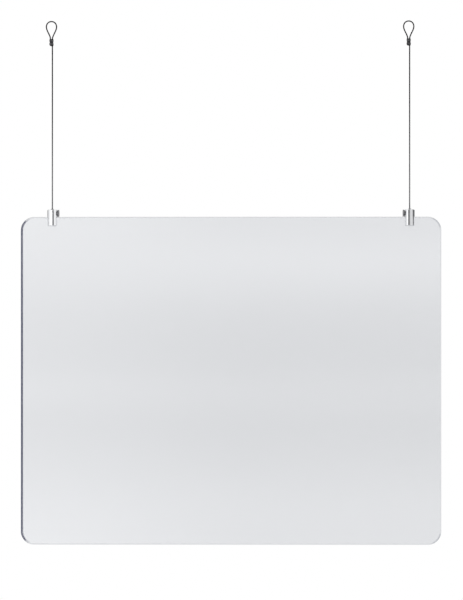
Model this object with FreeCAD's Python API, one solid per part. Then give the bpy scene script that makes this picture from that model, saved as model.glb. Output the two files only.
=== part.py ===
"""A clear screen that hangs from two wire cables.

The panel's top edge sits in two slotted barrel clamps. A thumb screw in the side of each barrel pinches the end
of a cable, and a socket screw in its rear jaw grips the panel. Each cable ends at its top in a crimped eye.

Millimetres. +X is to the right and +Y points away from a person in front of the screen, +Z is up. The origin is
midway between the two cables, at the height where their eyes bear on their hooks.
"""

import FreeCAD
import Part

import math
import os

# The panel
panel_width = 785.0
panel_height = 612.0
panel_thickness = 6.0
panel_corner_radius = 25.0
panel_edge_round = 2.6

# Where it hangs: below the eyes' bearing points, and in from the panel's ends
hang_drop = 364.0
clamp_inset = 59.0

# The cable and its eye
cable_diameter = 2.4
eye_offset = 1.7
cable_exit_gap = 0.2
swing_limit_degrees = 15.0

# The eye's route after the ferrule, up one leg and round to the top: across from the eye's middle, up from
# where it bears. The other leg mirrors it.
eye_route = [(3.2, -25.2), (10.1, -11.5), (8.8, -3.2), (3.6, 1.2)]
eye_neck_drop = 30.5
bend_run_share = 0.45

# The crimped ferrule
ferrule_drop = 31.3
ferrule_length = 13.4
ferrule_width = 7.9
ferrule_depth = 4.8
dead_end_cover = 2.0

# The slotted barrel of the clamp
barrel_diameter = 19.0
barrel_above_panel = 13.5
slot_depth = 16.5
barrel_top_round = 2.0
barrel_bottom_round = 0.8
rear_play = 1.0
cable_bore_clearance = 0.08
cable_bore_floor = 2.5
tail_end_gap = 0.3

# The tapered collar at the cable's exit
nipple_height = 2.0
nipple_base_diameter = 5.8
nipple_top_diameter = 4.0
nipple_shank_diameter = 5.0
nipple_shank_length = 3.0
flare_depth = 0.9
flare_extra_degrees = 4.0

# Both screws have the same thread, drawn as plain rods that run in plain holes
screw_diameter = 5.0
screw_pitch = 0.8
running_clearance = 0.05
stem_diameter = 2.4
stem_length = 1.8
stem_end_gap = 0.2
tip_face_gap = 0.05

# The thumb screw that pinches the cable
knob_diameter = 13.0
knob_thickness = 3.0
knob_bore_depth = 2.3
knob_lobes = 8
knob_scallop_radius = 2.2
knob_scallop_depth = 0.9
knob_edge_break = 0.5
knob_barrel_gap = 0.3
knob_panel_gap = 0.4
pinch_tip_diameter = 4.0
pinch_tip_thickness = 1.8
pinch_turns = 2.5

# The socket screw that grips the panel
grip_pad_diameter = 8.0
grip_pad_thickness = 0.8
grip_pocket_clearance = 0.3
grip_pocket_depth = 1.3
grip_screw_recess = 0.3
hex_across_flats = 2.5
hex_depth = 2.4
grip_turns = 1.5

# The soft pad on the front jaw
front_pad_thickness = 0.5
front_pad_width = 12.0
front_pad_height = 12.5

# How far a cutting body runs past the solid that it cuts
cut_overrun = 2.0

# Shares of the ferrule's length from its top, of its half width, of its half depth, and of the way from the
# eye's middle to the live cable. Two crimps leave two bulges, and the lower end closes towards the live cable.
ferrule_section_shares = [
    (0.00, 0.84, 0.80, 0.00),
    (0.08, 0.94, 0.92, 0.00),
    (0.26, 1.00, 1.00, 0.00),
    (0.48, 0.86, 0.84, 0.00),
    (0.70, 1.00, 1.00, 0.00),
    (0.88, 0.90, 0.92, 0.08),
    (1.00, 0.60, 0.76, 0.52),
]

cable_radius = cable_diameter / 2
barrel_radius = barrel_diameter / 2
screw_radius = screw_diameter / 2
knob_radius = knob_diameter / 2
cable_x = panel_width / 2 - clamp_inset
panel_top = -hang_drop
panel_bottom = panel_top - panel_height
panel_front = -panel_thickness / 2
panel_rear = panel_thickness / 2
barrel_top = panel_top + barrel_above_panel
barrel_bottom = panel_top - slot_depth
swing_axis = barrel_top + nipple_height - flare_depth
slot_front = panel_front - front_pad_thickness
slot_rear = panel_rear + rear_play
cable_bore_radius = cable_radius + cable_bore_clearance
cable_bore_bottom = panel_top + cable_bore_floor
pinch_axis = panel_top + knob_panel_gap + knob_radius
pinch_travel = screw_pitch * pinch_turns
grip_axis = panel_top - slot_depth / 2
grip_travel = screw_pitch * grip_turns

UP = FreeCAD.Vector(0, 0, 1)
REARWARD = FreeCAD.Vector(0, 1, 0)
SIDES = [("left", -cable_x, 1), ("right", cable_x, -1)]


def upright(radius, low, high, x=0, y=0):
    """A rod along Z from low to high."""
    return Part.makeCylinder(radius, high - low, FreeCAD.Vector(x, y, low), UP)


def sideways(radius, near, far, inward, height):
    """A rod along X, from near to far on the side of the cable that inward names."""
    start = FreeCAD.Vector(near * inward, 0, height)
    return Part.makeCylinder(radius, far - near, start, FreeCAD.Vector(inward, 0, 0))


def backward(radius, near, far, height):
    """A rod along Y from near to far."""
    return Part.makeCylinder(radius, far - near, FreeCAD.Vector(0, near, height), REARWARD)


def block(low, high):
    size = high - low
    return Part.makeBox(size.x, size.y, size.z, low)


def acrylic_panel():
    """One sheet with round corners, and an edge rounded on both faces."""
    low = FreeCAD.Vector(-panel_width / 2, panel_front, panel_bottom)
    high = FreeCAD.Vector(panel_width / 2, panel_rear, panel_top)
    sheet = block(low, high)
    through = [e for e in sheet.Edges if e.BoundBox.YLength > panel_thickness / 2]
    sheet = sheet.makeFillet(panel_corner_radius, through)
    outline = [e for e in sheet.Edges if e.BoundBox.YLength < panel_thickness / 2]
    return sheet.makeFillet(panel_edge_round, outline)


def cable_points():
    """The cable's route from its exit at the clamp to its dead end, about its own line."""
    middle = -eye_offset
    up_leg = [(eye_offset, -eye_neck_drop)] + eye_route
    down_leg = [(-across, up) for across, up in reversed(up_leg)]
    loop = [FreeCAD.Vector(middle + across, 0, up) for across, up in up_leg + down_leg]
    exit_point = FreeCAD.Vector(0, 0, swing_axis + cable_exit_gap)
    dead_end = -ferrule_drop - ferrule_length + dead_end_cover
    return [exit_point] + loop + [FreeCAD.Vector(middle - eye_offset, 0, dead_end)]


def rounded_path(points):
    """Straight runs joined by tangent arcs, and the arcs' radii."""
    edges = []
    radii = []
    start = points[0]
    for before, corner, after in zip(points, points[1:], points[2:]):
        back = before - corner
        ahead = after - corner
        run = bend_run_share * min(back.Length, ahead.Length)
        half_turn = (math.pi - back.getAngle(ahead)) / 2
        radius = run / math.tan(half_turn)
        back.normalize()
        ahead.normalize()
        bisector = back + ahead
        bisector.normalize()
        first = corner + back * run
        last = corner + ahead * run
        centre = corner + bisector * (radius / math.cos(half_turn))
        middle = centre - bisector * radius
        edges.append(Part.LineSegment(start, first).toShape())
        edges.append(Part.Arc(first, middle, last).toShape())
        radii.append(radius)
        start = last
    edges.append(Part.LineSegment(start, points[-1]).toShape())
    return Part.Wire(edges), radii


def cable():
    """The free cable: straight up from the clamp, round its eye and down to the dead end in the ferrule."""
    points = cable_points()
    path, radii = rounded_path(points)
    section = Part.Wire(Part.Circle(points[0], UP, cable_radius).toShape())
    tube = path.makePipeShell([section], True, False)
    swept = math.pi * cable_radius**2 * path.Length
    print("cable radii", [round(r, 2) for r in radii])
    print("cable length", round(path.Length, 2))
    print("cable volume over section times length", round(tube.Volume / swept, 5))
    return tube


def cable_tail():
    """The end of the cable inside the barrel."""
    return upright(cable_radius, cable_bore_bottom + tail_end_gap, swing_axis - cable_exit_gap)


def ferrule():
    """An oval sleeve over both legs of the cable, crimped twice."""
    sections = []
    for down, wide, deep, over in ferrule_section_shares:
        centre = FreeCAD.Vector(-eye_offset * (1 - over), 0, -ferrule_drop - ferrule_length * down)
        oval = Part.Ellipse(centre, ferrule_width / 2 * wide, ferrule_depth / 2 * deep)
        sections.append(Part.Wire(oval.toShape()))
    sleeve = Part.makeLoft(sections, True)
    top = -ferrule_drop + cut_overrun
    bottom = -ferrule_drop - ferrule_length
    live = upright(cable_radius, bottom - cut_overrun, top)
    dead = upright(cable_radius, bottom + dead_end_cover, top, x=-2 * eye_offset)
    return sleeve.cut(live).cut(dead)


def cable_nipple():
    """A tapered collar screwed into the barrel's top, with a flared mouth that lets the cable lean."""
    mouth = swing_axis + flare_depth
    cone = Part.makeCone(
        nipple_base_diameter / 2,
        nipple_top_diameter / 2,
        nipple_height,
        FreeCAD.Vector(0, 0, barrel_top),
        UP,
    )
    shank = upright(nipple_shank_diameter / 2, barrel_top - nipple_shank_length, barrel_top)
    bore = upright(cable_bore_radius, barrel_top - nipple_shank_length - cut_overrun, mouth)
    spread = math.tan(math.radians(swing_limit_degrees + flare_extra_degrees))
    flare = Part.makeCone(
        cable_bore_radius,
        cable_bore_radius + spread * (flare_depth + cut_overrun),
        flare_depth + cut_overrun,
        FreeCAD.Vector(0, 0, swing_axis),
        UP,
    )
    return cone.fuse(shank).removeSplitter().cut(bore).cut(flare)


def clamp_body(inward):
    """A turned barrel with a slot for the panel, a bore for the cable and a tapped hole for each screw."""
    barrel = upright(barrel_radius, barrel_bottom, barrel_top)
    for height, rim_round in ((barrel_top, barrel_top_round), (barrel_bottom, barrel_bottom_round)):
        rim = [e for e in barrel.Edges if all(abs(v.Z - height) < rim_round for v in e.Vertexes)]
        barrel = barrel.makeFillet(rim_round, rim)
    slot = block(
        FreeCAD.Vector(-barrel_diameter, slot_front, barrel_bottom - cut_overrun),
        FreeCAD.Vector(barrel_diameter, slot_rear, panel_top),
    )
    seat_floor = barrel_top - nipple_shank_length
    nipple_seat = upright(nipple_shank_diameter / 2, seat_floor, barrel_top + cut_overrun)
    cable_bore = upright(cable_bore_radius, cable_bore_bottom, barrel_top)
    tapped = screw_radius + running_clearance
    pinch_hole = sideways(tapped, 0, barrel_radius + cut_overrun, inward, pinch_axis)
    grip_hole = backward(tapped, slot_rear - cut_overrun, barrel_radius + cut_overrun, grip_axis)
    pocket_radius = grip_pad_diameter / 2 + grip_pocket_clearance
    pocket = backward(pocket_radius, slot_rear - cut_overrun, slot_rear + grip_pocket_depth, grip_axis)
    for tool in (slot, nipple_seat, cable_bore, pinch_hole, grip_hole, pocket):
        barrel = barrel.cut(tool)
    return barrel


def front_pad():
    """A thin soft pad on the front jaw, below the panel's rounded edge."""
    high = panel_top - panel_edge_round
    return block(
        FreeCAD.Vector(-front_pad_width / 2, slot_front, high - front_pad_height),
        FreeCAD.Vector(front_pad_width / 2, panel_front, high),
    )


def pinch_places():
    """Where the thumb screw's pieces begin and end, out from the cable's line."""
    tip_face = cable_radius + tip_face_gap
    tip_back = tip_face + pinch_tip_thickness
    stud_start = tip_back + tip_face_gap
    knob_start = barrel_radius + knob_barrel_gap
    return tip_face, tip_back, stud_start, knob_start


def pinch_tip(inward):
    """The nylon tip that presses the cable, with a stem that turns freely in the screw's nose."""
    tip_face, tip_back, stud_start, knob_start = pinch_places()
    disc = sideways(pinch_tip_diameter / 2, tip_face, tip_back, inward, pinch_axis)
    stem = sideways(stem_diameter / 2, tip_back, tip_back + stem_length, inward, pinch_axis)
    return disc.fuse(stem).removeSplitter()


def pinch_screw(inward):
    """The thumb screw's stud."""
    tip_face, tip_back, stud_start, knob_start = pinch_places()
    stud = sideways(screw_radius, stud_start, knob_start + knob_bore_depth, inward, pinch_axis)
    nose_radius = stem_diameter / 2 + running_clearance
    nose_end = tip_back + stem_length + stem_end_gap
    return stud.cut(sideways(nose_radius, stud_start - cut_overrun, nose_end, inward, pinch_axis))


def thumb_knob(inward):
    """A short scalloped knob pressed onto the stud."""
    tip_face, tip_back, stud_start, knob_start = pinch_places()
    knob_end = knob_start + knob_thickness
    knob = sideways(knob_radius, knob_start, knob_end, inward, pinch_axis)
    rims = [e for e in knob.Edges if len(e.Vertexes) == 1]
    knob = knob.makeChamfer(knob_edge_break, rims)
    reach = knob_radius + knob_scallop_radius - knob_scallop_depth
    for lobe in range(knob_lobes):
        angle = 2 * math.pi * lobe / knob_lobes
        start = FreeCAD.Vector(
            (knob_start - cut_overrun) * inward,
            reach * math.cos(angle),
            pinch_axis + reach * math.sin(angle),
        )
        length = knob_thickness + 2 * cut_overrun
        scallop = Part.makeCylinder(knob_scallop_radius, length, start, FreeCAD.Vector(inward, 0, 0))
        knob = knob.cut(scallop)
    bore_end = knob_start + knob_bore_depth
    return knob.cut(sideways(screw_radius, knob_start - cut_overrun, bore_end, inward, pinch_axis))


def grip_pad():
    """The pressure pad against the panel's rear face, with a stem that turns freely in the screw's nose."""
    back = panel_rear + grip_pad_thickness
    disc = backward(grip_pad_diameter / 2, panel_rear, back, grip_axis)
    stem = backward(stem_diameter / 2, back, back + stem_length, grip_axis)
    return disc.fuse(stem).removeSplitter()


def grip_screw():
    """A socket set screw through the rear jaw, its end just inside the barrel."""
    back = panel_rear + grip_pad_thickness
    start = back + tip_face_gap
    end = barrel_radius - grip_screw_recess
    screw = backward(screw_radius, start, end, grip_axis)
    nose_radius = stem_diameter / 2 + running_clearance
    nose = backward(nose_radius, start - cut_overrun, back + stem_length + stem_end_gap, grip_axis)
    corner = hex_across_flats / 2 / math.cos(math.pi / 6)
    corners = []
    for step in range(7):
        angle = math.pi * step / 3
        corners.append(
            FreeCAD.Vector(corner * math.cos(angle), end - hex_depth, grip_axis + corner * math.sin(angle))
        )
    socket = Part.Face(Part.makePolygon(corners)).extrude(REARWARD * (hex_depth + cut_overrun))
    return screw.cut(nose).cut(socket)


def write(name, shape, x=0):
    """One solid to one file, moved to its cable."""
    placed = shape.copy()
    placed.translate(FreeCAD.Vector(x, 0, 0))
    if not placed.isValid() or len(placed.Solids) != 1:
        raise ValueError(name + " is not one valid solid")
    placed.exportStep(os.path.join("parts", name + ".step"))


os.makedirs("parts", exist_ok=True)
write("acrylic_panel", acrylic_panel())
print("thumb screw travel", pinch_travel, "grip screw travel", grip_travel)
print("swing axis height", round(swing_axis, 3))
for side, x, inward in SIDES:
    write(side + "_cable", cable(), x)
    write(side + "_cable_tail", cable_tail(), x)
    write(side + "_ferrule", ferrule(), x)
    write(side + "_cable_nipple", cable_nipple(), x)
    write(side + "_clamp_body", clamp_body(inward), x)
    write(side + "_front_pad", front_pad(), x)
    write(side + "_pinch_tip", pinch_tip(inward), x)
    write(side + "_pinch_screw", pinch_screw(inward), x)
    write(side + "_thumb_knob", thumb_knob(inward), x)
    write(side + "_grip_pad", grip_pad(), x)
    write(side + "_grip_screw", grip_screw(), x)
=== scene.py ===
import math

import bmesh
import bpy
from mathutils import Matrix, Vector


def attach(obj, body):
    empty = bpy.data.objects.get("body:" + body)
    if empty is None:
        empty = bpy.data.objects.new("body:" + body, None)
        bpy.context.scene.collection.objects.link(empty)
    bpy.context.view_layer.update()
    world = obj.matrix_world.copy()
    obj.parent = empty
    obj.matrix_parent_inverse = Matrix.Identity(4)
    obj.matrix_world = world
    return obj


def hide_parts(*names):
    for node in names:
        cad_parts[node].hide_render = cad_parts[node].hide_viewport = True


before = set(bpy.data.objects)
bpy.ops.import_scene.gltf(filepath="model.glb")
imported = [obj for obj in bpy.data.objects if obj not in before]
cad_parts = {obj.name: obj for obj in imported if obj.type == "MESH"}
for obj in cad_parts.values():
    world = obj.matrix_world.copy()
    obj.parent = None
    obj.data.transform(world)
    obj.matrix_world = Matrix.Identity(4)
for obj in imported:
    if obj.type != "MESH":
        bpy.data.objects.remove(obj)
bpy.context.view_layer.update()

# The cables. Each is a thin steel wire rope, six strands laid round a core, pulled straight by the panel's
# weight. It leaves its clamp, goes up through the ferrule and round its eye, and comes back down to a dead
# end in the ferrule.

# Sizes are in metres, and in millimetres where a comment says so. Each side has its name, its cable's place
# across, and the direction in which the middle lies.
sides = [("left", -0.3335, 1), ("right", 0.3335, -1)]
cable_diameter = 0.0024
strand_radius = cable_diameter / 6
strand_corners = 9
lay_length = 0.0150
rope_step = 0.0012
cable_exit = -0.3492
straight_below_eye = 0.0055
eye_offset = 0.0017
ferrule_top = -0.0313
ferrule_bottom = -0.0447
# One leg of the eye, across and up in millimetres, as the points of a smooth spline.
eye_leg = [(1.7, -30.5), (3.2, -25.2), (10.1, -11.5), (8.8, -3.2), (3.6, 1.2)]
# The wires of a strand: how many are seen round it, and their twist in radians a metre.
strand_wires = 6.0
wire_twist = -8000.0
# The rope's colour is painted dark at the eye and lighter towards the clamp, between these heights: painted
# light from the bright panel below.
painted_light_low = -0.36
painted_light_high = -0.09


def add(tree, kind, inputs=None, **settings):
    """One node in a tree: its settings, and for each input a value or the socket that feeds it."""
    node = tree.nodes.new(kind)
    for name, value in settings.items():
        setattr(node, name, value)
    for key, value in (inputs or {}).items():
        if isinstance(value, bpy.types.NodeSocket):
            tree.links.new(value, node.inputs[key])
        else:
            node.inputs[key].default_value = value
    return node


def compute(tree, operation, *values):
    """The result of one Math node."""
    return add(tree, "ShaderNodeMath", dict(enumerate(values)), operation=operation).outputs[0]


def scaled(tree, vector, factor):
    """A vector times a number."""
    return add(tree, "ShaderNodeVectorMath", {0: vector, "Scale": factor}, operation="SCALE").outputs[0]


def moved(tree, geometry, offset):
    """Geometry with each of its points moved by an offset."""
    return add(tree, "GeometryNodeSetPosition", {"Geometry": geometry, "Offset": offset}).outputs[0]


def geometry_tree(name, sizes):
    """An empty Geometry Nodes tree with named sizes and a material, and its input sockets."""
    tree = bpy.data.node_groups.new(name, "GeometryNodeTree")
    tree.interface.new_socket("Geometry", in_out="INPUT", socket_type="NodeSocketGeometry")
    for size in sizes:
        tree.interface.new_socket(size, in_out="INPUT", socket_type="NodeSocketFloat")
    tree.interface.new_socket("Material", in_out="INPUT", socket_type="NodeSocketMaterial")
    tree.interface.new_socket("Geometry", in_out="OUTPUT", socket_type="NodeSocketGeometry")
    return tree, tree.nodes.new("NodeGroupInput").outputs


def end_tree(tree, geometry, material):
    """The tree's last three nodes: real geometry, in the piece's material."""
    real = add(tree, "GeometryNodeRealizeInstances", {"Geometry": geometry}).outputs[0]
    painted = add(tree, "GeometryNodeSetMaterial", {"Geometry": real, "Material": material}).outputs[0]
    add(tree, "NodeGroupOutput", {"Geometry": painted})


def store(tree, geometry, name, data_type, value):
    """Keeps a value on each point under a name, for the piece's material to read."""
    kept = {"Geometry": geometry, "Name": name}
    node = add(tree, "GeometryNodeStoreNamedAttribute", kept, data_type=data_type)
    socket = [s for s in node.inputs if s.name == "Value" and s.enabled][0]
    tree.links.new(value, socket)
    return node.outputs[0]


def show(name, mesh):
    """A mesh as an object at the origin."""
    piece = bpy.data.objects.new(name, mesh)
    bpy.context.collection.objects.link(piece)
    return piece


def final_mesh(seed):
    """The plain mesh of an object with its modifiers or spline worked out. The object itself goes."""
    mesh = bpy.data.meshes.new_from_object(seed.evaluated_get(bpy.context.evaluated_depsgraph_get()))
    bpy.data.objects.remove(seed)
    return mesh


def grown(name, source, tree, sizes, material):
    """The plain mesh that a tree makes from a source mesh, as an object at the origin."""
    seed = show(name, source)
    modifier = seed.modifiers.new(tree.name, "NODES")
    modifier.node_group = tree
    values = dict(sizes, Material=material)
    for socket in tree.interface.items_tree:
        if socket.in_out == "INPUT" and socket.name in values:
            modifier[socket.identifier] = values[socket.name]
    return show(name, final_mesh(seed))


def rope_tree():
    """Lays strands round a line: copies of it on a helix, a core along it, and a round section on each."""
    sizes = ["Strand Radius", "Outer Strands", "Lay Length", "Step"]
    tree, given = geometry_tree("lay_the_strands", sizes)
    line = add(tree, "GeometryNodeMeshToCurve", {"Mesh": given["Geometry"]}).outputs[0]
    evenly = {"Curve": line, "Length": given["Step"]}
    line = add(tree, "GeometryNodeResampleCurve", evenly, mode="LENGTH").outputs[0]
    repeat = {"Geometry": line, "Amount": given["Outer Strands"]}
    copies = add(tree, "GeometryNodeDuplicateElements", repeat, domain="SPLINE").outputs
    along = add(tree, "GeometryNodeSplineParameter").outputs["Length"]
    turns = compute(tree, "DIVIDE", along, given["Lay Length"])
    share = compute(tree, "DIVIDE", copies["Duplicate Index"], given["Outer Strands"])
    angle = compute(tree, "MULTIPLY", compute(tree, "ADD", turns, share), math.tau)
    normal = add(tree, "GeometryNodeInputNormal").outputs[0]
    tangent = add(tree, "GeometryNodeInputTangent").outputs[0]
    across = add(tree, "ShaderNodeVectorMath", {0: tangent, 1: normal}, operation="CROSS_PRODUCT").outputs[0]
    normal_part = scaled(tree, normal, compute(tree, "COSINE", angle))
    across_part = scaled(tree, across, compute(tree, "SINE", angle))
    outward = add(tree, "ShaderNodeVectorMath", {0: normal_part, 1: across_part}).outputs[0]
    strands = store(tree, copies[0], "along", "FLOAT", along)
    strands = store(tree, strands, "outward", "FLOAT_VECTOR", outward)
    read = {"Name": "outward"}
    kept = add(tree, "GeometryNodeInputNamedAttribute", read, data_type="FLOAT_VECTOR").outputs[0]
    two_radii = compute(tree, "MULTIPLY", given["Strand Radius"], 2.0)
    strands = moved(tree, strands, scaled(tree, kept, two_radii))
    circle = {"Resolution": strand_corners, "Radius": given["Strand Radius"]}
    section = add(tree, "GeometryNodeCurvePrimitiveCircle", circle).outputs[0]
    place = add(tree, "GeometryNodeInputPosition").outputs[0]
    ring = add(tree, "ShaderNodeVectorMath", {0: place}, operation="NORMALIZE").outputs[0]
    section = store(tree, section, "ring", "FLOAT_VECTOR", ring)
    wall = {"Profile Curve": section, "Fill Caps": True}
    outer = add(tree, "GeometryNodeCurveToMesh", {"Curve": strands, **wall}).outputs[0]
    core = add(tree, "GeometryNodeCurveToMesh", {"Curve": line, **wall}).outputs[0]
    face = add(tree, "GeometryNodeInputNormal").outputs[0]
    facing = add(tree, "ShaderNodeVectorMath", {0: face, 1: kept}, operation="DOT_PRODUCT").outputs["Value"]
    outer = store(tree, outer, "facing", "FLOAT", facing)
    both = add(tree, "GeometryNodeJoinGeometry")
    tree.links.new(core, both.inputs[0])
    tree.links.new(outer, both.inputs[0])
    smooth = add(tree, "GeometryNodeSetShadeSmooth", {"Geometry": both.outputs[0]}).outputs[0]
    end_tree(tree, smooth, given["Material"])
    return tree


def new_finish(name, **constants):
    """A material with one Principled shader, and the constants set on the shader's own sockets."""
    material = bpy.data.materials.new(name)
    material.use_nodes = True
    tree = material.node_tree
    shader = tree.nodes["Principled BSDF"]
    for key, value in constants.items():
        shader.inputs[key.replace("_", " ")].default_value = value
    return material, tree, shader


def place_on_piece(tree):
    """Where on the piece a point lies, as X, Y and Z."""
    place = add(tree, "ShaderNodeTexCoord").outputs["Object"]
    return add(tree, "ShaderNodeSeparateXYZ", {0: place}).outputs


def kept_value(tree, name, output="Fac"):
    """What the mesh keeps on its points under a name."""
    return add(tree, "ShaderNodeAttribute", attribute_name=name).outputs[output]


def noise(tree, scale, detail=3.0, stretch=(1, 1, 1)):
    """Soft cloudy variation over the piece, from 0 to 1, of so many cells a metre."""
    where = add(tree, "ShaderNodeTexCoord").outputs["Object"]
    where = add(tree, "ShaderNodeMapping", {"Vector": where, "Scale": stretch}).outputs[0]
    return add(tree, "ShaderNodeTexNoise", {"Vector": where, "Scale": scale, "Detail": detail}).outputs[0]


def span(tree, value, low, high, start=0.0, end=1.0):
    """Takes a value that runs from low to high to one that runs smoothly from start to end."""
    inputs = {0: value, 1: low, 2: high, 3: start, 4: end}
    return add(tree, "ShaderNodeMapRange", inputs, interpolation_type="SMOOTHSTEP").outputs[0]


def blend(tree, share, first, second):
    """A colour between two others."""
    return add(tree, "ShaderNodeMix", {0: share, 6: first, 7: second}, data_type="RGBA").outputs[2]


def raise_surface(tree, shader, height, distance):
    """Bump from a height of 0 to 1, which stands so far off the surface."""
    bump = add(tree, "ShaderNodeBump", {"Height": height, "Strength": 1.0, "Distance": distance})
    tree.links.new(bump.outputs[0], shader.inputs["Normal"])


def rope_finish():
    """Drawn steel wires, with painted shade between the strands, and painted light that makes them lighter
    towards the clamps.
    """
    material, tree, shader = new_finish("cable_steel", Metallic=1.0, Specular_Tint=(0.25, 0.25, 0.25, 1))
    ring = add(tree, "ShaderNodeSeparateXYZ", {0: kept_value(tree, "ring", "Vector")}).outputs
    around = compute(tree, "MULTIPLY", compute(tree, "ARCTAN2", ring["Y"], ring["X"]), strand_wires)
    twist = compute(tree, "MULTIPLY", kept_value(tree, "along"), wire_twist)
    wires = span(tree, compute(tree, "SINE", compute(tree, "ADD", around, twist)), -1.0, 0.2)
    # Painted shade: the side of each strand that faces the rope's core, and the lines between its wires, are
    # darkened.
    open_side = span(tree, kept_value(tree, "facing"), -0.1, 0.75)
    # Painted light: the steel and the grooves are painted lighter towards the clamp, for light from the
    # bright panel below.
    painted_light_share = span(tree, place_on_piece(tree)["Z"], painted_light_low, painted_light_high, 1.0, 0.0)
    steel = blend(tree, painted_light_share, (0.056, 0.056, 0.058, 1), (0.385, 0.385, 0.395, 1))
    dulled = blend(tree, 0.45, (0, 0, 0, 1), steel)
    # Dull patches of random wear, over the steel with its painted light.
    wear_and_painted_light = blend(tree, span(tree, noise(tree, 900.0), 0.30, 0.60), dulled, steel)
    # Towards the eye the bright crowns narrow, so the painted shade covers more of the rope.
    sharpness = span(tree, painted_light_share, 0.0, 0.8, 3.5, 1.0)
    crown = compute(tree, "POWER", compute(tree, "MULTIPLY", open_side, wires), sharpness)
    # The colour of the painted shade in the grooves, lighter towards the clamp.
    groove = blend(tree, painted_light_share, (0.006, 0.006, 0.006, 1), (0.09, 0.09, 0.09, 1))
    tree.links.new(blend(tree, crown, groove, wear_and_painted_light), shader.inputs["Base Color"])
    tree.links.new(span(tree, noise(tree, 1400.0), 0.3, 0.7, 0.28, 0.46), shader.inputs["Roughness"])
    raise_surface(tree, shader, wires, 0.00004)
    return material


def cable_line(x):
    """The rope's centreline as a mesh of points in a row: a smooth spline up, round the eye and back down."""
    up_leg = [(across / 1000, up / 1000) for across, up in eye_leg]
    down_leg = [(-across, up) for across, up in reversed(up_leg)]
    loop = [(across - eye_offset, up) for across, up in up_leg + down_leg]
    straight_end = (0.0, up_leg[0][1] - straight_below_eye)
    dead_end = (-2 * eye_offset, ferrule_bottom + cable_diameter)
    route = [(0.0, cable_exit), straight_end] + loop + [dead_end]
    curve = bpy.data.curves.new("route", "CURVE")
    curve.dimensions = "3D"
    spline = curve.splines.new("NURBS")
    spline.points.add(len(route) - 1)
    for point, (across, up) in zip(spline.points, route):
        point.co = (x + across, 0, up, 1)
    spline.order_u = 3
    spline.use_endpoint_u = True
    spline.resolution_u = 24
    return final_mesh(show("route", curve))


def repaint(node, material):
    """Gives a piece from the CAD its finish in place of the plain one it came with."""
    node.data.materials.clear()
    node.data.materials.append(material)


ropes = {}
rope_layer = rope_tree()
rope_material = rope_finish()
for side, x, inward in sides:
    line = cable_line(x)
    path = [tuple(v.co) for v in line.vertices]
    if path[0][2] > path[-1][2]:
        path.reverse()
    sizes = {"Strand Radius": strand_radius, "Outer Strands": 6.0, "Lay Length": lay_length,
             "Step": rope_step}
    rope = grown(side + "_rope", line, rope_layer, sizes, rope_material)
    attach(rope, "hangers")
    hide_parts(side + "_cable")
    ropes[side] = (rope, path)
    repaint(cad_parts[side + "_cable_tail"], rope_material)


# The ferrules. Each is an oval sleeve of soft metal, blackened, pressed twice over both legs of the cable,
# so that two bulges stand on either side of a waist. Its lower end closes towards the live cable.
ferrule_half_width = 0.00395
ferrule_half_depth = 0.0024
# Places down the sleeve, as shares of its length: the bulges' crowns, the waist, and where its end starts
# to lean over to the live cable. The lean is a share of the way from the eye's middle to that cable.
ferrule_bulges = [0.26, 0.70]
ferrule_waist = 0.48
lean_start = 0.80
end_lean = 0.58
# The oval's size at its top, what it loses in its waist, and its size at its lower end, as shares of a
# bulge's. Its depth follows only so much of the narrowing to that end.
top_size = 0.80
waist_pinch = 0.14
lower_size = 0.52
depth_taper = 0.62
# How square the oval is, and how much squarer the press leaves it near the waist.
oval_power = 2.3
waist_power = 1.2
waist_reach = 0.16
# The mouth round the cable at each end: the oval's size, and how far it is moved up.
upper_mouth = [(0.56, -0.0005), (0.66, -0.0004), (0.70, 0.0)]
lower_mouth = [(0.45, 0.0), (0.42, 0.0004)]
ferrule_rows = 44
ferrule_corners = 48
crease = math.radians(38)


def skin(name, rings, joined=False):
    """A closed smooth mesh through rings of points. Its ends are filled, or its last ring meets its first."""
    shell = bmesh.new()
    rows = [[shell.verts.new(point) for point in ring] for ring in rings]
    pairs = list(zip(rows, rows[1:]))
    if joined:
        pairs.append((rows[-1], rows[0]))
    else:
        shell.faces.new(rows[0])
        shell.faces.new(rows[-1])
    for low, high in pairs:
        for i in range(len(low)):
            shell.faces.new((low[i - 1], low[i], high[i], high[i - 1]))
    bmesh.ops.recalc_face_normals(shell, faces=shell.faces)
    for face in shell.faces:
        face.smooth = True
    mesh = bpy.data.meshes.new(name)
    shell.to_mesh(mesh)
    shell.free()
    mesh.set_sharp_from_angle(angle=crease)
    return mesh


def ferrule_mesh(x):
    """Oval rings down the sleeve, with a mouth sunk into each end round the cable."""
    length = ferrule_top - ferrule_bottom
    first, last = ferrule_bulges

    def size_at(t):
        if t < first:
            return top_size + (1 - top_size) * math.sqrt(1 - ((first - t) / first) ** 2)
        if t < last:
            dip = 0.5 - 0.5 * math.cos(math.tau * (t - first) / (last - first))
            return 1 - waist_pinch * dip
        return lower_size + (1 - lower_size) * math.sqrt(max(0.0, 1 - ((t - last) / (1 - last)) ** 2))

    def oval(t, size, lift=0.0):
        lean = end_lean * max(0.0, (t - lean_start) / (1 - lean_start)) ** 2
        power = 2 / (oval_power + waist_power * max(0.0, 1 - abs(t - ferrule_waist) / waist_reach))
        deep_size = size if t < last else 1 - (1 - size) * depth_taper
        ring = []
        for step in range(ferrule_corners):
            c, s = math.cos(math.tau * step / ferrule_corners), math.sin(math.tau * step / ferrule_corners)
            across = math.copysign(abs(c) ** power, c) * ferrule_half_width * size
            deep = math.copysign(abs(s) ** power, s) * ferrule_half_depth * deep_size
            ring.append((x - eye_offset * (1 - lean) + across, deep, ferrule_top - length * t + lift))
        return ring

    rings = [oval(0.0, size, lift) for size, lift in upper_mouth]
    rings += [oval(i / ferrule_rows, size_at(i / ferrule_rows)) for i in range(ferrule_rows + 1)]
    rings += [oval(1.0, size, lift) for size, lift in lower_mouth]
    return skin("ferrule", rings)


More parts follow.
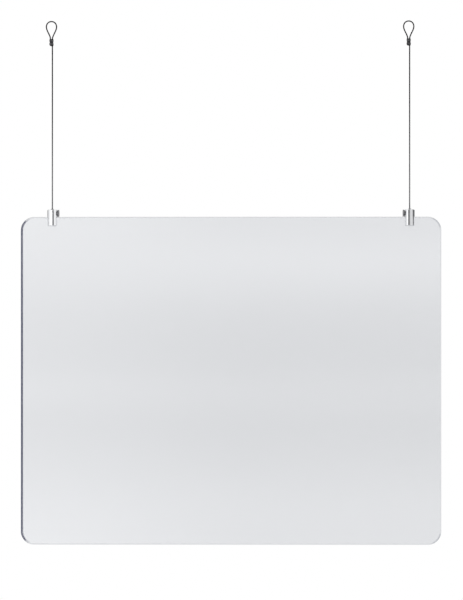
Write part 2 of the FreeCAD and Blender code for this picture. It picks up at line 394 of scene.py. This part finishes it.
def ferrule_finish():
    """Black oxide on soft metal, rubbed to bare metal on the crown of each bulge."""
    material, tree, shader = new_finish("ferrule_metal", Metallic=0.85)
    height = place_on_piece(tree)["Z"]
    length = ferrule_top - ferrule_bottom
    crowns = []
    for bulge in ferrule_bulges:
        away = compute(tree, "ABSOLUTE", compute(tree, "SUBTRACT", height, ferrule_top - length * bulge))
        crowns.append(span(tree, away, 0.0004, 0.0022, 1.0, 0.0))
    patches = span(tree, noise(tree, 700.0, 5.0), 0.44, 0.66)
    rubbed = compute(tree, "MULTIPLY", compute(tree, "MAXIMUM", *crowns), patches)
    black = blend(tree, noise(tree, 320.0), (0.018, 0.018, 0.020, 1), (0.050, 0.050, 0.054, 1))
    tree.links.new(blend(tree, rubbed, black, (0.16, 0.16, 0.165, 1)), shader.inputs["Base Color"])
    tree.links.new(span(tree, noise(tree, 500.0), 0.3, 0.7, 0.36, 0.58), shader.inputs["Roughness"])
    raise_surface(tree, shader, noise(tree, 2600.0, 4.0), 0.00003)
    return material


ferrule_material = ferrule_finish()
for side, x, inward in sides:
    mesh = ferrule_mesh(x)
    mesh.materials.append(ferrule_material)
    ferrule = show(side + "_sleeve", mesh)
    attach(ferrule, "hangers")
    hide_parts(side + "_ferrule")
    rope, path = ropes[side]


# The nipples. Each is a small turned collar, screwed into the top of the clamp. The cable comes out of its
# flared mouth, which lets it lean as the panel swings.
barrel_top = -0.3505
# In millimetres: the least radius of a ring, so that a closed end doesn't meet in a point, and the collar's
# profile, in radius and height above the clamp.
least_radius = 0.001
nipple_profile = [(1.28, -3.0), (2.45, -3.0), (2.5, -2.9), (2.5, 0.0), (2.82, 0.0), (2.9, 0.08), (2.9, 0.22),
                  (2.78, 0.5), (2.50, 0.95), (2.28, 1.35), (2.14, 1.68), (2.04, 1.88), (1.93, 1.98),
                  (1.82, 2.0), (1.70, 1.95), (1.57, 1.72), (1.42, 1.38), (1.28, 1.05)]


def turned_rings(profile, count):
    """Rings of points about the Z axis, from a profile of radius and height in millimetres."""
    rings = []
    for radius, height in profile:
        r = max(radius, least_radius) / 1000
        ring = []
        for step in range(count):
            angle = math.tau * step / count
            ring.append((r * math.cos(angle), r * math.sin(angle), height / 1000))
        rings.append(ring)
    return rings


def nipple_finish():
    """Dark nickel plate with the fine rings of the lathe."""
    material, tree, shader = new_finish("nipple_metal", Metallic=1.0)
    rings = noise(tree, 60.0, 2.0, (1, 1, 130))
    shade = blend(tree, noise(tree, 800.0), (0.15, 0.15, 0.16, 1), (0.26, 0.26, 0.27, 1))
    tree.links.new(shade, shader.inputs["Base Color"])
    tree.links.new(span(tree, rings, 0.3, 0.7, 0.2, 0.34), shader.inputs["Roughness"])
    raise_surface(tree, shader, rings, 0.00001)
    return material


nipple_material = nipple_finish()
for side, x, inward in sides:
    mesh = skin("nipple", turned_rings(nipple_profile, count=64), joined=True)
    mesh.transform(Matrix.Translation((x, 0, barrel_top)))
    mesh.materials.append(nipple_material)
    nipple = show(side + "_collar", mesh)
    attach(nipple, "screen")
    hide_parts(side + "_cable_nipple")


# The clamp bodies. Each is turned from bar, slotted for the panel, drilled for the cable and tapped for two
# screws, then polished and chrome plated.
broken_edge = 0.00014
# A face belongs to the turned wall if it lies further out than this, and faces out by at least this much.
wall_radius = 0.0093
wall_facing = 0.994


def chrome_finish():
    """Bright chrome with faint turning marks and the haze of handling."""
    material, tree, shader = new_finish("barrel_chrome", Metallic=1.0)
    haze = noise(tree, 160.0, 4.0)
    marks = noise(tree, 40.0, 2.0, (1, 1, 160))
    shade = blend(tree, haze, (0.80, 0.81, 0.83, 1), (0.90, 0.905, 0.92, 1))
    tree.links.new(shade, shader.inputs["Base Color"])
    tree.links.new(span(tree, haze, 0.3, 0.75, 0.045, 0.13), shader.inputs["Roughness"])
    raise_surface(tree, shader, marks, 0.0000015)
    return material


def polished(name, node, x):
    """A merged copy of a clamp's CAD solid, with broken edges and exact normals on its turned wall."""
    shell = bmesh.new()
    shell.from_mesh(node.data)
    bmesh.ops.remove_doubles(shell, verts=shell.verts, dist=0.000002)
    bmesh.ops.dissolve_limit(shell, angle_limit=math.radians(0.5), verts=shell.verts, edges=shell.edges)
    for face in shell.faces:
        face.smooth = True
    mesh = bpy.data.meshes.new(name)
    shell.to_mesh(mesh)
    shell.free()
    seed = show(name, mesh)
    broken = seed.modifiers.new("broken_edges", "BEVEL")
    broken.width = broken_edge
    broken.segments = 2
    broken.limit_method = "ANGLE"
    broken.angle_limit = math.radians(35)
    broken.harden_normals = True
    finished = final_mesh(seed)
    normals = [Vector(corner.vector) for corner in finished.corner_normals]
    for face in finished.polygons:
        outward = Vector((face.center.x - x, face.center.y, 0))
        if outward.length > wall_radius and face.normal.dot(outward.normalized()) > wall_facing:
            for loop in face.loop_indices:
                place = finished.vertices[finished.loops[loop].vertex_index].co
                normals[loop] = Vector((place.x - x, place.y, 0)).normalized()
    finished.normals_split_custom_set(normals)
    return show(name, finished)


chrome = chrome_finish()
for side, x, inward in sides:
    barrel = polished(side + "_barrel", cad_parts[side + "_clamp_body"], x)
    repaint(barrel, chrome)
    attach(barrel, "screen")
    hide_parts(side + "_clamp_body")


# The thumb screws. A nylon tip sits in the nose of each steel stud and presses the cable, and a thin
# scalloped knob, plated dark, is pressed onto the stud's outer end.
pinch_height = -0.3571
thread_sizes = {"Outer Radius": 0.0025, "Pitch": 0.0008, "Depth": 0.00045}
knob_sizes = {"Knob Radius": 0.0065, "Scallops": 8.0, "Scallop Radius": 0.0022, "Scallop Depth": 0.0009}
# The thread starts as an even zigzag. It is made steeper and set lower, which leaves flat crests and roots.
zigzag_slope = 1.3
zigzag_drop = 0.15
# A point belongs to the rod's wall, or to the knob's rim, from such a share of the radius outwards.
rod_wall = 0.94
rim_start = 0.72
rim_full = 0.84
# In millimetres: the pieces' places from the cable's middle, and their profiles, in radius and height.
stud_start = 3.10
knob_start = 9.8
knob_bore_depth = 2.3
stud_length = knob_start + knob_bore_depth - stud_start
screw_nose = [(0.0, 1.95), (1.25, 1.95), (1.25, 0.12), (1.36, 0.0), (1.95, 0.0), (2.3, 0.32)]
knob_profile = [(0.0, 2.3), (2.5, 2.3), (2.5, 0.2), (2.7, 0.0), (4.4, 0.0), (5.4, 0.0), (6.02, 0.0),
                (6.22, 0.05), (6.38, 0.17), (6.47, 0.33), (6.5, 0.52), (6.5, 1.1), (6.5, 1.9), (6.5, 2.48),
                (6.47, 2.67), (6.38, 2.83), (6.22, 2.95), (6.02, 3.0), (5.4, 3.0), (4.75, 3.0), (4.6, 2.97),
                (4.5, 2.86), (4.4, 2.78), (2.0, 2.75), (0.0, 2.75)]


def place_round_axis(tree):
    """Where a point lies about the Z axis: the flat vector out to it, its radius, its angle and height."""
    place = add(tree, "GeometryNodeInputPosition").outputs[0]
    xyz = add(tree, "ShaderNodeSeparateXYZ", {0: place}).outputs
    flat = add(tree, "ShaderNodeCombineXYZ", {"X": xyz["X"], "Y": xyz["Y"]}).outputs[0]
    radius = add(tree, "ShaderNodeVectorMath", {0: flat}, operation="LENGTH").outputs["Value"]
    return flat, radius, compute(tree, "ARCTAN2", xyz["Y"], xyz["X"]), xyz["Z"]


def thread_tree():
    """Cuts a thread into a rod about Z: each point near the outside moves in by its place on the helix."""
    tree, given = geometry_tree("cut_the_thread", ["Outer Radius", "Pitch", "Depth"])
    flat, radius, angle, height = place_round_axis(tree)
    pitches = compute(tree, "DIVIDE", height, given["Pitch"])
    turn = compute(tree, "DIVIDE", angle, math.tau)
    phase = compute(tree, "FRACT", compute(tree, "SUBTRACT", pitches, turn))
    zigzag = compute(tree, "ABSOLUTE", compute(tree, "SUBTRACT", compute(tree, "MULTIPLY", phase, 2.0), 1.0))
    flank = compute(tree, "SUBTRACT", compute(tree, "MULTIPLY", zigzag, zigzag_slope), zigzag_drop)
    groove = compute(tree, "MINIMUM", compute(tree, "MAXIMUM", flank, 0.0), 1.0)
    outside = compute(tree, "GREATER_THAN", compute(tree, "DIVIDE", radius, given["Outer Radius"]), rod_wall)
    sunk = compute(tree, "MULTIPLY", compute(tree, "MULTIPLY", groove, given["Depth"]), outside)
    factor = compute(tree, "DIVIDE", compute(tree, "MULTIPLY", sunk, -1.0), radius)
    end_tree(tree, moved(tree, given["Geometry"], scaled(tree, flat, factor)), given["Material"])
    return tree


def scallop_tree():
    """Presses round scallops into a knob's rim about Z, by the distance to the nearest scallop's centre."""
    tree, given = geometry_tree("press_the_scallops", list(knob_sizes))
    flat, radius, angle = place_round_axis(tree)[:3]
    half = compute(tree, "DIVIDE", math.pi, given["Scallops"])
    near = compute(tree, "WRAP", angle, half, compute(tree, "MULTIPLY", half, -1.0))
    centre = compute(tree, "ADD", given["Knob Radius"], given["Scallop Radius"])
    centre = compute(tree, "SUBTRACT", centre, given["Scallop Depth"])
    aside = compute(tree, "MULTIPLY", centre, compute(tree, "SINE", near))
    round_squared = compute(tree, "MULTIPLY", given["Scallop Radius"], given["Scallop Radius"])
    left_over = compute(tree, "SUBTRACT", round_squared, compute(tree, "MULTIPLY", aside, aside))
    bite = compute(tree, "SQRT", compute(tree, "MAXIMUM", left_over, 0.0))
    wall = compute(tree, "SUBTRACT", compute(tree, "MULTIPLY", centre, compute(tree, "COSINE", near)), bite)
    ratio = compute(tree, "MINIMUM", compute(tree, "DIVIDE", wall, given["Knob Radius"]), 1.0)
    hit = compute(tree, "GREATER_THAN", left_over, 0.0)
    pressed = compute(tree, "MULTIPLY", compute(tree, "SUBTRACT", 1.0, ratio), hit)
    share = compute(tree, "DIVIDE", radius, given["Knob Radius"])
    rim = add(tree, "ShaderNodeMapRange", {0: share, 1: rim_start, 2: rim_full, 3: 0.0, 4: 1.0}).outputs[0]
    factor = compute(tree, "MULTIPLY", compute(tree, "MULTIPLY", pressed, rim), -1.0)
    end_tree(tree, moved(tree, given["Geometry"], scaled(tree, flat, factor)), given["Material"])
    return tree


def threaded_rod(start, end, row=0.1):
    """The profile of a plain rod with rows close enough to carry a thread, in millimetres."""
    count = round((end - start) / row)
    return [(2.5, start + (end - start) * i / count) for i in range(count + 1)]


def laid_along(direction, start):
    """The move that lays a piece, made along Z, along a direction from its starting point."""
    turn = Vector((0, 0, 1)).rotation_difference(Vector(direction)).to_matrix().to_4x4()
    return Matrix.Translation(start) @ turn


def knob_finish():
    """Dark plating, with a trace of bare metal where fingers and the bench have rubbed it."""
    material, tree, shader = new_finish("knob_metal", Metallic=0.7)
    cloud = noise(tree, 380.0, 5.0)
    plating = blend(tree, cloud, (0.20, 0.20, 0.21, 1), (0.34, 0.34, 0.35, 1))
    edge = span(tree, add(tree, "ShaderNodeNewGeometry").outputs["Pointiness"], 0.53, 0.60)
    rubbed = compute(tree, "MULTIPLY", edge, span(tree, noise(tree, 900.0), 0.42, 0.6))
    tree.links.new(blend(tree, rubbed, plating, (0.30, 0.30, 0.31, 1)), shader.inputs["Base Color"])
    tree.links.new(span(tree, cloud, 0.3, 0.7, 0.30, 0.46), shader.inputs["Roughness"])
    raise_surface(tree, shader, noise(tree, 3000.0, 3.0), 0.000012)
    return material


def screw_finish():
    """Stainless steel with a fine drawn grain."""
    material, tree, shader = new_finish("screw_steel", Metallic=1.0)
    grain = noise(tree, 1800.0, 3.0)
    shade = blend(tree, grain, (0.48, 0.48, 0.50, 1), (0.62, 0.62, 0.64, 1))
    tree.links.new(shade, shader.inputs["Base Color"])
    tree.links.new(span(tree, grain, 0.3, 0.7, 0.22, 0.38), shader.inputs["Roughness"])
    raise_surface(tree, shader, grain, 0.000006)
    return material


def nylon_finish():
    """Milky moulded nylon that lets a little light into its surface."""
    material, tree, shader = new_finish("nylon", Subsurface_Weight=0.15, Subsurface_Scale=0.001)
    cloud = noise(tree, 500.0)
    shade = blend(tree, cloud, (0.80, 0.79, 0.74, 1), (0.88, 0.87, 0.83, 1))
    tree.links.new(shade, shader.inputs["Base Color"])
    tree.links.new(span(tree, cloud, 0.3, 0.7, 0.42, 0.56), shader.inputs["Roughness"])
    raise_surface(tree, shader, noise(tree, 2500.0), 0.00001)
    return material


threader = thread_tree()
scalloper = scallop_tree()
knob_material = knob_finish()
screw_material = screw_finish()
nylon = nylon_finish()
stud_profile = screw_nose + threaded_rod(0.5, stud_length - 0.3)
stud_profile += [(2.3, stud_length - 0.1), (0.0, stud_length)]
for side, x, inward in sides:
    stud_mesh = skin("stud", turned_rings(stud_profile, count=36))
    stud = grown(side + "_stud", stud_mesh, threader, thread_sizes, screw_material)
    stud.data.transform(laid_along((inward, 0, 0), (x + inward * stud_start / 1000, 0, pinch_height)))
    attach(stud, side + "_thumb_screw")
    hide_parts(side + "_pinch_screw")

    knob_mesh = skin("knob", turned_rings(knob_profile, count=192))
    knob = grown(side + "_knob", knob_mesh, scalloper, knob_sizes, knob_material)
    knob.data.transform(laid_along((inward, 0, 0), (x + inward * knob_start / 1000, 0, pinch_height)))
    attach(knob, side + "_thumb_screw")
    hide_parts(side + "_thumb_knob")

    repaint(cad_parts[side + "_pinch_tip"], nylon)


# The grip screws. Each is a steel socket set screw through the clamp's rear jaw, with a nylon pressure pad
# that bears on the panel's rear face.
grip_height = -0.37225
# In millimetres: where the screw starts behind the cables' plane, its length, and its socket.
grip_start = 3.85
grip_length = 5.35
hex_half_flat = 1.25
socket_depth = 2.4
socket_chamfer = 0.14
set_screw_corners = 48


def socket_screw():
    """A set screw along Z, with a bore in its nose and a six-sided socket in its back."""
    profile = screw_nose + threaded_rod(0.5, grip_length - 0.5)
    profile += [(2.3, grip_length - 0.2), (2.05, grip_length)]
    rings = turned_rings(profile, set_screw_corners)
    floor = grip_length - socket_depth
    for widen, height in ((1.12, grip_length), (1.0, grip_length - socket_chamfer),
                          (1.0, floor), (0.001, floor)):
        ring = []
        for step in range(set_screw_corners):
            angle = math.tau * step / set_screw_corners
            r = hex_half_flat * widen / math.cos(angle % (math.pi / 3) - math.pi / 6) / 1000
            ring.append((r * math.cos(angle), r * math.sin(angle), height / 1000))
        rings.append(ring)
    return skin("socket_screw", rings)


for side, x, inward in sides:
    set_screw = grown(side + "_set_screw", socket_screw(), threader, thread_sizes, screw_material)
    set_screw.data.transform(laid_along((0, 1, 0), (x, grip_start / 1000, grip_height)))
    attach(set_screw, side + "_rear_screw")
    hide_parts(side + "_grip_screw")
    repaint(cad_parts[side + "_grip_pad"], nylon)


# The panel. One sheet of clear cast acrylic, 6 mm thick, cut with round corners, its edge rounded on both
# faces and polished. It stands in both clamps' slots and carries nothing else.
panel_half_width = 0.3925
panel_top = -0.364
panel_bottom = -0.976
panel_half_thickness = 0.003
corner_radius = 0.025
edge_round = 0.0026
corner_steps = 24
round_steps = 10


def panel_mesh():
    """Rings of points from the front face over the rounded edge to the rear face, with exact normals."""
    corners = []
    for sign_x, centre_z in ((1, panel_top - corner_radius), (-1, panel_top - corner_radius),
                             (-1, panel_bottom + corner_radius), (1, panel_bottom + corner_radius)):
        corners.append((sign_x * (panel_half_width - corner_radius), centre_z))
    outline = []
    for turn, centre in enumerate(corners):
        for step in range(corner_steps + 1):
            angle = math.pi / 2 * (turn + step / corner_steps)
            outline.append((centre, math.cos(angle), math.sin(angle)))
    rings = []
    normals = []
    steps = [math.pi / 2 * i / round_steps for i in range(round_steps + 1)]
    for face in (-1, 1):
        for lean in steps if face < 0 else reversed(steps):
            reach = corner_radius - edge_round * (1 - math.sin(lean))
            y = face * (panel_half_thickness - edge_round * (1 - math.cos(lean)))
            ring = []
            for (centre_x, centre_z), c, s in outline:
                ring.append((centre_x + reach * c, y, centre_z + reach * s))
                normals.append((c * math.sin(lean), face * math.cos(lean), s * math.sin(lean)))
            rings.append(ring)
    mesh = skin("panel", rings)
    mesh.normals_split_custom_set_from_vertices(normals)
    return mesh


def acrylic_finish():
    """Clear sheet with a slight grey haze, the faint waves of casting and the marks of wiping."""
    material, tree, shader = new_finish("clear_acrylic", Base_Color=(0.730, 0.740, 0.761, 1), IOR=1.49,
                                        Transmission_Weight=0.95)
    wiped = span(tree, noise(tree, 34.0, 5.0), 0.45, 0.75, 0.0, 0.035)
    tree.links.new(wiped, shader.inputs["Roughness"])
    raise_surface(tree, shader, noise(tree, 5.0, 1.0), 0.0002)
    through = add(tree, "ShaderNodeBsdfTransparent", {"Color": (0.80, 0.81, 0.825, 1)}).outputs[0]
    lamp_ray = add(tree, "ShaderNodeLightPath").outputs["Is Shadow Ray"]
    both = add(tree, "ShaderNodeMixShader", {0: lamp_ray, 1: shader.outputs[0], 2: through}).outputs[0]
    tree.links.new(both, tree.nodes["Material Output"].inputs["Surface"])
    return material


mesh = panel_mesh()
mesh.materials.append(acrylic_finish())
panel = show("sheet", mesh)
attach(panel, "screen")
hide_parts("acrylic_panel")


# The front pads. Each is a thin strip of soft grey rubber between the clamp's front jaw and the panel,
# which keeps the metal off the panel's front face.
def pad_finish():
    """Matt rubber with a fine open surface."""
    material, tree, shader = new_finish("soft_pad", Roughness=0.85)
    grain = noise(tree, 2400.0, 4.0)
    shade = blend(tree, grain, (0.36, 0.37, 0.38, 1), (0.50, 0.51, 0.52, 1))
    tree.links.new(shade, shader.inputs["Base Color"])
    raise_surface(tree, shader, grain, 0.00003)
    return material


pad_material = pad_finish()
for side, x, inward in sides:
    repaint(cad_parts[side + "_front_pad"], pad_material)


# The room. The screen hangs over a pale floor, before a white backdrop that metal and glass show too. The
# floor fades out round the object, so that no edge of it shows.
floor_height = -1.62
floor_reach = 3.2
fade_start = 1.2
fade_end = 3.0
white = (1, 1, 1, 1)


def flat_card(name, corners):
    """A card with four corners, for the room."""
    mesh = bpy.data.meshes.new(name)
    mesh.from_pydata(corners, [], [(0, 1, 2, 3)])
    card = show(name, mesh)
    return card


material, tree, shader = new_finish("floor_paint", Roughness=0.8)
place = add(tree, "ShaderNodeTexCoord").outputs["Object"]
xyz = add(tree, "ShaderNodeSeparateXYZ", {0: place}).outputs
flat = add(tree, "ShaderNodeCombineXYZ", {"X": xyz["X"], "Y": xyz["Y"]}).outputs[0]
far_out = add(tree, "ShaderNodeVectorMath", {0: flat}, operation="LENGTH").outputs["Value"]
cloud = add(tree, "ShaderNodeTexNoise", {"Vector": place, "Scale": 2.0}).outputs[0]
tree.links.new(blend(tree, cloud, (0.86, 0.86, 0.86, 1), (0.90, 0.90, 0.90, 1)), shader.inputs["Base Color"])
clear = add(tree, "ShaderNodeBsdfTransparent").outputs[0]
gone = span(tree, far_out, fade_start, fade_end)
faded = add(tree, "ShaderNodeMixShader", {0: gone, 1: shader.outputs[0], 2: clear}).outputs[0]
tree.links.new(faded, tree.nodes["Material Output"].inputs["Surface"])
quarters = ((-1, -1), (1, -1), (1, 1), (-1, 1))
floor = flat_card("floor", [(floor_reach * a, floor_reach * b, floor_height) for a, b in quarters])
floor.data.materials.append(material)


# The window wall. It stands behind the camera, where only the shine shows it, and its soft windows lay
# faint bands over the panel. Going up the wall, its light follows one list of heights and shades on the
# left and one on the right.
window_strength = 4.2
window_low = -1.36
window_high = 0.02
left_column = [(0.0, 1.0), (0.14, 0.72), (0.28, 0.50), (0.39, 0.33), (0.47, 0.60), (0.56, 0.36), (0.70, 0.44),
               (0.84, 0.70), (1.0, 0.92)]
right_column = [(0.0, 0.44), (0.12, 0.46), (0.24, 0.24), (0.37, 0.0), (0.465, 0.26), (0.56, 0.0),
                (0.72, 0.16), (0.85, 0.72), (0.93, 0.44), (1.0, 0.44)]


def glow(name, color, strength):
    """A plain even glow for a card."""
    material = bpy.data.materials.new(name)
    material.use_nodes = True
    tree = material.node_tree
    tree.nodes.remove(tree.nodes["Principled BSDF"])
    light = add(tree, "ShaderNodeEmission", {"Color": color, "Strength": strength})
    tree.links.new(light.outputs[0], tree.nodes["Material Output"].inputs["Surface"])
    return material, tree, light


def seen_in_gloss_only(card):
    """Hides a card from all but the shine on metal and plastic."""
    card.visible_camera = False
    card.visible_diffuse = False
    card.visible_shadow = False
    card.visible_transmission = False


def upright_card(name, glow_name, near, far, low, high, strength):
    """A card that stands between two places on the plan, with a white glow that only the shine shows."""
    card = flat_card(name, [(*near, low), (*far, low), (*far, high), (*near, high)])
    material, tree, light = glow(glow_name, white, strength)
    card.data.materials.append(material)
    seen_in_gloss_only(card)
    return tree, light


wall_left = (-1.6, -6.0)
wall_right = (1.4, -6.0)
tree, light = upright_card("front_wall", "window_light", wall_left, wall_right, -1.5, 0.2, window_strength)
xyz = place_on_piece(tree)
up = add(tree, "ShaderNodeMapRange", {0: xyz["Z"], 1: window_low, 2: window_high, 3: 0.0, 4: 1.0}).outputs[0]
columns = []
for stops in (left_column, right_column):
    ramp = add(tree, "ShaderNodeValToRGB", {0: up})
    ramp.color_ramp.interpolation = "B_SPLINE"
    band = ramp.color_ramp.elements
    band[0].position = stops[0][0]
    band[1].position = stops[-1][0]
    for position, value in stops[1:-1]:
        band.new(position)
    for element, (position, value) in zip(band, stops):
        element.color = (value, value, value, 1)
    columns.append(ramp.outputs[0])
sideways = span(tree, xyz["X"], -1.05, 0.10)
tree.links.new(blend(tree, sideways, *columns), light.inputs["Color"])


# The flags. Small cards stand close before the clamps and draw the dark stripes in their chrome, and two
# nearly white ones soften the right clamp. Those that reach down past the panel's top stay inside the
# clamp's outline, because the panel would show them beside it.
flag_top = -0.335
# How far before the cables a card stands, and how far down it reaches.
far_place = (-0.04, -0.3617)
near_place = (-0.012, -0.3815)
dark = 0.23
pale = 0.80
for name, (y, low), left, right, shade in (("left_flag", far_place, -0.3358, -0.3062, dark),
                                           ("left_near_flag", near_place, -0.33367, -0.3277, dark),
                                           ("right_flag", far_place, 0.3052, 0.3378, dark),
                                           ("right_near_flag", near_place, 0.32759, 0.33417, dark),
                                           ("right_veil", far_place, 0.3378, 0.430, pale),
                                           ("right_near_veil", near_place, 0.33417, 0.3428, pale)):
    upright_card(name, name + "_grey", (left, y), (right, y), low, flag_top, shade)

# Two more stand just beside the right clamp, edge on, and darken its outer side.
beside_barrel = 0.3445
side_flag_front = -0.00994
side_flag_middle = -0.3635
darker = 0.16
for name, rear, low, high in (("right_side_flag", -0.00154, side_flag_middle, flag_top),
                              ("right_front_flag", -0.0050, -0.3815, side_flag_middle)):
    front_end = (beside_barrel, side_flag_front)
    upright_card(name, name + "_grey", front_end, (beside_barrel, rear), low, high, darker)


# The far cards. A soft box and a pale wall to the left, and two grey walls behind, draw the outlines of
# bright round metal. Each turns white towards its foot, so that the panel shows no edge of it.
far_card_top = 1.2
whitening = 0.8
for name, near, far, low, shade in (("soft_box", (-1.86, -2.65), (-2.70, -1.32), -1.4, 1.3),
                                    ("left_side", (-3.0, -1.0), (-3.0, 0.7), -1.4, 0.8),
                                    ("rear_left", (-6.0, 2.0), (0.0, 2.0), -1.6, 0.42),
                                    ("rear_right", (0.0, 2.0), (6.0, 2.0), -1.6, 0.50)):
    tree, light = upright_card(name, name + "_light", near, far, low, far_card_top, shade)
    height = place_on_piece(tree)["Z"]
    tree.links.new(span(tree, height, low, low + whitening, 1.0, shade), light.inputs["Strength"])


# The edge strips. Each is a thin strip close behind the panel, which the rounded edge gathers into a line
# down the left edge, or round the right corners. They glow dark, and so put painted shade along the panel's
# edge. Only rays that start within a few millimetres of a strip see it.
strip_place = 0.0035
strip_sight = 0.004
strip_steps = 20


def edge_strip(name, side, inner, outer, first, last, color):
    """A strip between two insets round both corners of one side, which narrows to a point at its last angle.
    One whose first angle is 0 also runs down the edge between the corners."""
    centre_x = side * (panel_half_width - corner_radius)
    middle = (inner + outer) / 2
    corners = []
    for up, centre_z in ((1, panel_top - corner_radius), (-1, panel_bottom + corner_radius)):
        rungs = []
        for step in range(strip_steps + 1):
            angle = math.radians(first + (last - first) * step / strip_steps)
            width = math.cos(math.pi / 2 * step / strip_steps)
            rung = []
            for inset in (middle + (outer - middle) * width, middle + (inner - middle) * width):
                reach = corner_radius - inset
                rung.append((centre_x + reach * side * math.cos(angle), strip_place,
                             centre_z + reach * up * math.sin(angle)))
            rungs.append(rung)
        corners.append(rungs)
    runs = [corners[0][::-1] + corners[1]] if first == 0 else corners
    points = []
    faces = []
    for run in runs:
        for place, rung in enumerate(run):
            points += rung
            if place > 0:
                n = len(points)
                faces.append((n - 4, n - 3, n - 1, n - 2))
    mesh = bpy.data.meshes.new(name)
    mesh.from_pydata(points, [], faces)
    material, tree, light = glow(name + "_grey", color, 1.0)
    ray_length = add(tree, "ShaderNodeLightPath").outputs["Ray Length"]
    too_far = compute(tree, "GREATER_THAN", ray_length, strip_sight)
    clear = add(tree, "ShaderNodeBsdfTransparent").outputs[0]
    near_only = add(tree, "ShaderNodeMixShader", {0: too_far, 1: light.outputs[0], 2: clear}).outputs[0]
    tree.links.new(near_only, tree.nodes["Material Output"].inputs["Surface"])
    mesh.materials.append(material)
    strip = show(name, mesh)
    seen_in_gloss_only(strip)
    strip.visible_glossy = False
    strip.visible_transmission = True


# Painted shade: a dark line down the left edge, and a grey line round the right corners.
edge_strip("left_edge_painted_shade", -1, 0.0040, 0.0016, 0, 74, (0.050, 0.057, 0.125, 1))
edge_strip("right_corner_painted_shade", 1, 0.0030, 0.0018, 12, 80, (0.72, 0.73, 0.75, 1))


# The light. One large soft lamp stands above and in front to the left, and the sky is even. Camera, shine
# and glass see the sky as pure white, and it lights the object a little less.
lamp_place = (-1.5, -2.0, 1.6)
lamp_aim = (1.5, 2.0, -2.1)
sky_strength = 0.72
lamp = bpy.data.lights.new("soft_lamp", "AREA")
lamp.shape = "DISK"
lamp.size = 1.6
lamp.energy = 38
lamp_stand = bpy.data.objects.new("soft_lamp", lamp)
lamp_stand.location = lamp_place
lamp_stand.rotation_euler = Vector(lamp_aim).to_track_quat("-Z", "Y").to_euler()
lamp_stand.visible_camera = False
lamp_stand.visible_glossy = False
lamp_stand.visible_transmission = False
bpy.context.collection.objects.link(lamp_stand)

world = bpy.data.worlds.new("studio")
bpy.context.scene.world = world
world.use_nodes = True
tree = world.node_tree
ray = add(tree, "ShaderNodeLightPath").outputs
shown = compute(tree, "MAXIMUM", ray["Is Camera Ray"], ray["Is Glossy Ray"])
shown = compute(tree, "MAXIMUM", shown, ray["Is Transmission Ray"])
sky = add(tree, "ShaderNodeBackground", {"Color": white, "Strength": sky_strength}).outputs[0]
backdrop = add(tree, "ShaderNodeBackground", {"Color": white, "Strength": 1.0}).outputs[0]
mixed = add(tree, "ShaderNodeMixShader", {0: shown, 1: sky, 2: backdrop}).outputs[0]
tree.links.new(mixed, tree.nodes["World Output"].inputs["Surface"])


# The camera. It stands level with the middle of the panel, a little to the right of it, and looks slightly
# left. Its shift sets the object in the picture as the photograph does.
camera_distance = 5.0
camera_turn = math.radians(0.73)
camera_height = -0.670
camera_aside = 0.0012
# The rows of the picture, what each of them spans at the panel, and how many the picture is shifted by.
picture_rows = 600
row_height = 0.001867
rows_shifted = 80.8
camera = bpy.data.cameras.new("camera")
camera.sensor_width = 36
camera.lens = camera.sensor_width * camera_distance / (picture_rows * row_height)
camera.shift_y = rows_shifted / picture_rows
viewer = bpy.data.objects.new("camera", camera)
viewer.location = (camera_distance * math.sin(camera_turn) + camera_aside,
                   -camera_distance * math.cos(camera_turn), camera_height)
viewer.rotation_euler = (math.pi / 2, 0, camera_turn)
bpy.context.collection.objects.link(viewer)
bpy.context.scene.camera = viewer
bpy.context.scene.view_settings.view_transform = "Standard"
